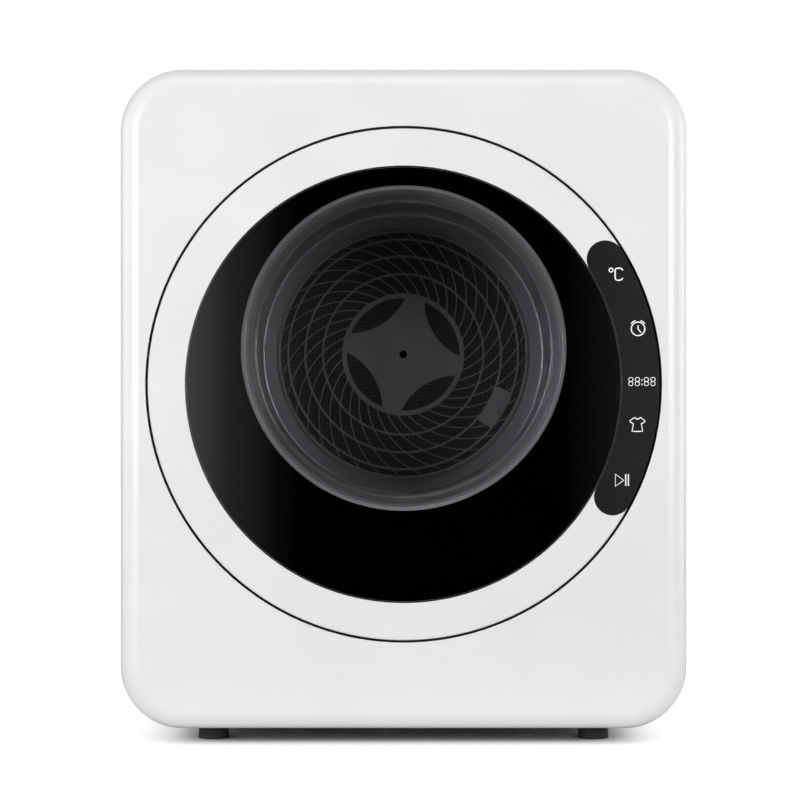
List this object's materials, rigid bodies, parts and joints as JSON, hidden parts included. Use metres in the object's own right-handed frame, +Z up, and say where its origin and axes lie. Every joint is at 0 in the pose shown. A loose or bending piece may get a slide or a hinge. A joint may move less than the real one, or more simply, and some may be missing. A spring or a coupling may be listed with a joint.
{
  "type": "compact tumble dryer",
  "caption": "Front-loading compact tumble dryer with a round flush door, smoked glass window, curved touch panel, steel drum with rear filter grille, belt drive, fan and heater.",
  "frame": {"origin": "under the middle of the machine, on the surface it stands on", "axes": "+X to the right seen from the front, +Z up, the door faces -Y"},
  "size_m": [0.5044, 0.4, 0.6003],
  "materials": {
    "white_abs": "glossy moulded white",
    "white_paint": "powder-coated sheet steel",
    "dark_grey_abs": "satin moulded dark grey",
    "dark_nylon": "fine matt moulded",
    "white_nylon": "satin moulded",
    "black_rubber": "matt",
    "felt": "pressed felt",
    "smoked_glass": "smoked and polished",
    "clear_glass": "pressed clear glass",
    "black_print": "opaque black print",
    "touch_acrylic": "glossy dark acrylic",
    "circuit_board": "solder mask",
    "drum_steel": "satin steel sheet",
    "drum_plastic": "satin moulded dark grey",
    "filter_mesh": "woven mesh",
    "bronze": "sintered bronze",
    "zinc_steel": "zinc plated",
    "black_steel": "black oxide",
    "galvanised_steel": "galvanised sheet",
    "motor_paint": "black enamel",
    "fin_aluminium": "plain fins"
  },
  "bodies": {
    "cabinet": {"front_panel": "white_abs", "cabinet_wrap": "white_paint", "rear_cover": "white_paint", "cabinet_screws": "zinc_steel", "base_tray": "galvanised_steel", "feet": "black_rubber", "front_bulkhead": "dark_grey_abs", "door_seal": "black_rubber", "drum_front_seal": "felt", "roller_pins": "zinc_steel", "hinge_bracket": "zinc_steel", "hinge_pin": "zinc_steel", "latch_housing": "dark_nylon", "rear_bulkhead": "galvanised_steel", "rear_seal": "felt", "rear_axle": "zinc_steel", "axle_nut": "zinc_steel", "fan_housing": "dark_nylon", "exhaust_collar": "white_abs", "motor_body": "motor_paint", "motor_bracket": "galvanised_steel", "drum_belt": "black_rubber", "fan_belt": "black_rubber", "idler_spring": "zinc_steel", "capacitor": "white_nylon", "heater_duct": "galvanised_steel", "ptc_heater": "fin_aluminium", "thermostats": "dark_nylon", "power_box": "dark_nylon", "power_board": "circuit_board", "mains_gland": "dark_nylon"},
    "door": {"door_frame": "white_abs", "door_glass": "smoked_glass", "window_mask": "black_print", "window_bowl": "clear_glass", "door_liner": "dark_grey_abs", "door_screws": "zinc_steel", "touch_panel": "touch_acrylic", "touch_board": "circuit_board", "display_module": "dark_nylon", "hinge_arm": "zinc_steel", "latch_strike": "white_nylon"},
    "drum": {"drum_shell": "drum_steel", "drum_back": "drum_steel", "drum_lifters": "drum_plastic", "drum_hub": "dark_nylon", "hub_bush": "bronze", "lint_filter": "filter_mesh", "rear_grille": "drum_plastic", "grille_screw": "black_steel"},
    "motor_rotor": {"motor_shaft": "zinc_steel", "fan_pulley": "dark_nylon"},
    "fan": {"fan_impeller": "white_nylon"},
    "idler_arm": {"idler_arm": "galvanised_steel"},
    "idler_pulley": {"idler_pulley": "white_nylon"},
    "roller_left": {"front_roller_left": "white_nylon"},
    "roller_right": {"front_roller_right": "white_nylon"},
    "latch_plunger": {"latch_plunger": "white_nylon"},
    "switch_plunger": {"switch_plunger": "white_nylon"}
  },
  "joints": [
    {"name": "door_hinge", "type": "hinge", "parent": "cabinet", "child": "door", "pos_m": [-0.238, -0.191, 0.3199], "axis": [0, 0, -1], "range_deg": [0, 100]},
    {"name": "latch_press", "type": "slide", "parent": "cabinet", "child": "latch_plunger", "axis": [0, 1, 0], "range_m": [0, 0.004], "stiffness_N_per_m": 300, "springref_m": -0.004},
    {"name": "switch_press", "type": "slide", "parent": "cabinet", "child": "switch_plunger", "axis": [0, 1, 0], "range_m": [0, 0.002], "stiffness_N_per_m": 200, "springref_m": -0.004},
    {"name": "drum_spin", "type": "hinge", "parent": "cabinet", "child": "drum", "pos_m": [0, 0.13, 0.3521], "axis": [0, 1, 0], "continuous": true},
    {"name": "motor_spin", "type": "hinge", "parent": "cabinet", "child": "motor_rotor", "pos_m": [-0.15, 0.08, 0.0905], "axis": [0, 1, 0], "continuous": true},
    {"name": "fan_spin", "type": "hinge", "parent": "cabinet", "child": "fan", "pos_m": [0, 0.165, 0.3521], "axis": [0, 1, 0], "continuous": true},
    {"name": "idler_swing", "type": "hinge", "parent": "cabinet", "child": "idler_arm", "pos_m": [-0.15, 0, 0.046], "axis": [0, 1, 0], "range_deg": [0, 12], "stiffness_Nm_per_rad": 1.5, "springref_deg": -14.32},
    {"name": "idler_spin", "type": "hinge", "parent": "idler_arm", "child": "idler_pulley", "pos_m": [-0.10801, -0.01, 0.10802], "axis": [0, 1, 0], "continuous": true},
    {"name": "roller_left_spin", "type": "hinge", "parent": "cabinet", "child": "roller_left", "pos_m": [-0.10812, -0.128, 0.14876], "axis": [0, 1, 0], "continuous": true},
    {"name": "roller_right_spin", "type": "hinge", "parent": "cabinet", "child": "roller_right", "pos_m": [0.10812, -0.128, 0.14876], "axis": [0, 1, 0], "continuous": true}
  ],
  "couplings": [
    {"joint": "motor_spin", "follows": "drum_spin", "ratio": 37.93},
    {"joint": "fan_spin", "follows": "drum_spin", "ratio": 12.946},
    {"joint": "idler_spin", "follows": "drum_spin", "ratio": -14.224},
    {"joint": "roller_left_spin", "follows": "drum_spin", "ratio": -14.201},
    {"joint": "roller_right_spin", "follows": "drum_spin", "ratio": -14.201}
  ]
}
